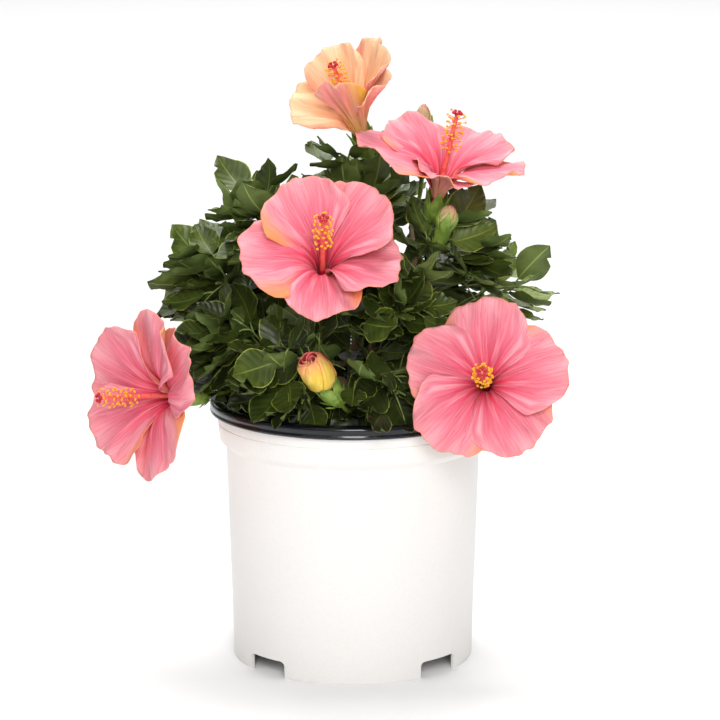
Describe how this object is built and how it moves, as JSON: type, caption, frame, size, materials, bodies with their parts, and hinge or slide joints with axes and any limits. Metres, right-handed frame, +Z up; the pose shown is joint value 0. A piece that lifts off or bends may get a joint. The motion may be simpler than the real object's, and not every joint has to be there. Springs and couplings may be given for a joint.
{
  "type": "potted hibiscus shrub",
  "caption": "Bushy hibiscus shrub in bloom in a white nursery pot with a dark liner rim: short trunk, forking boughs, leafy masses, open flowers and buds.",
  "frame": {"origin": "centre of the pot's flat underside, on the ground", "axes": "+Z up, -Y towards the front that faces the picture's camera, +X to the right seen from the front"},
  "size_m": [0.3908, 0.3104, 0.525],
  "materials": {
    "pot_plastic": "satin white injection-moulded plastic",
    "liner_plastic": "glossy dark navy-black plastic",
    "potting_soil": "loose dark potting mix",
    "bark": "thin grey-brown bark",
    "foliage": "glossy dark green leaves",
    "young_foliage": "glossy lighter green young leaves",
    "petals": "thin pink petals with a red throat",
    "fading_petals": "thin peach petals",
    "buds": "green sepals round rolled petals"
  },
  "bodies": {
    "root": {"pot": "pot_plastic", "pot_rim": "liner_plastic", "soil": "potting_soil", "trunk": "bark", "mass_front_low_left": "foliage", "mass_front_low_right": "foliage", "mass_front_mid": "foliage", "mass_front_high": "foliage", "mass_left_low": "foliage", "mass_left_mid": "foliage", "mass_left_high": "foliage", "mass_top": "foliage", "mass_right_mid": "young_foliage", "mass_right_low": "foliage", "mass_back_left": "foliage", "mass_back_right": "foliage", "mass_back_high": "foliage", "mass_back_low_left": "foliage", "mass_back_low_right": "foliage", "bloom_centre": "petals", "bloom_right": "petals", "bloom_left": "petals", "bloom_top": "fading_petals", "bloom_upright": "petals", "bud_opening": "buds", "bud_high": "buds", "bud_right": "buds", "bough_to_mass_front_low_left": "bark", "bough_to_mass_front_low_right": "bark", "bough_to_mass_front_mid": "bark", "bough_to_mass_front_high": "bark", "bough_to_mass_left_low": "bark", "bough_to_mass_left_mid": "bark", "bough_to_mass_left_high": "bark", "bough_to_mass_top": "bark", "bough_to_mass_right_mid": "bark", "bough_to_mass_right_low": "bark", "bough_to_mass_back_left": "bark", "bough_to_mass_back_right": "bark", "bough_to_mass_back_high": "bark", "bough_to_mass_back_low_left": "bark", "bough_to_mass_back_low_right": "bark", "bough_to_bloom_centre": "bark", "bough_to_bloom_right": "bark", "bough_to_bloom_left": "bark", "bough_to_bloom_top": "bark", "bough_to_bloom_upright": "bark", "bough_to_bud_opening": "bark", "bough_to_bud_high": "bark", "bough_to_bud_right": "bark"}
  },
  "joints": []
}
